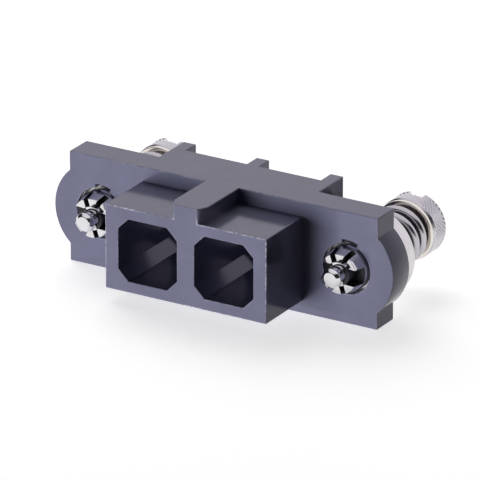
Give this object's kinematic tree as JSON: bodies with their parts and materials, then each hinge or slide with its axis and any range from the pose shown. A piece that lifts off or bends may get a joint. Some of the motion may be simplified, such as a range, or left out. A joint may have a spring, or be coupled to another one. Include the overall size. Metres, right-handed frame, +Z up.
{
  "type": "rectangular connector",
  "caption": "Flanged rectangular power connector housing with chamfered square contact cavities and captive spring-loaded part-turn lock screws.",
  "frame": {"origin": "middle of the box round the whole connector, on the plane of the underside that it rests on", "axes": "+X along the row of cavities, +Y from the mating face to the knurled heads, +Z up from the base to the ribbed side"},
  "size_m": [0.0178, 0.0098, 0.0054],
  "materials": {
    "housing_plastic": "moulded, satin, blue grey",
    "bush_metal": "turned, bright",
    "spring_wire": "drawn, bright",
    "washer_metal": "stamped, bright",
    "screw_metal": "turned, knurled head, satin",
    "cam_metal": "milled, polished"
  },
  "bodies": {
    "housing": {"housing": "housing_plastic", "left_bush": "bush_metal", "right_bush": "bush_metal", "left_spring": "spring_wire", "right_spring": "spring_wire"},
    "left_slide": {"left_thrust_washer": "washer_metal"},
    "left_lock": {"left_lock_screw": "screw_metal", "left_lock_cam": "cam_metal"},
    "right_slide": {"right_thrust_washer": "washer_metal"},
    "right_lock": {"right_lock_screw": "screw_metal", "right_lock_cam": "cam_metal"}
  },
  "joints": [
    {"name": "left_push", "type": "slide", "parent": "housing", "child": "left_slide", "axis": [0, -1, 0], "range_m": [0, 0.0012], "stiffness_N_per_m": 1500, "springref_m": -0.001, "deforming": ["left_spring"]},
    {"name": "left_turn", "type": "hinge", "parent": "left_slide", "child": "left_lock", "pos_m": [-0.0065, 0.00129, 0.00265], "axis": [0, -1, 0], "range_deg": [0, 101]},
    {"name": "right_push", "type": "slide", "parent": "housing", "child": "right_slide", "axis": [0, -1, 0], "range_m": [0, 0.0012], "stiffness_N_per_m": 1500, "springref_m": -0.001, "deforming": ["right_spring"]},
    {"name": "right_turn", "type": "hinge", "parent": "right_slide", "child": "right_lock", "pos_m": [0.0065, 0.00129, 0.00265], "axis": [0, -1, 0], "range_deg": [0, 101]}
  ]
}
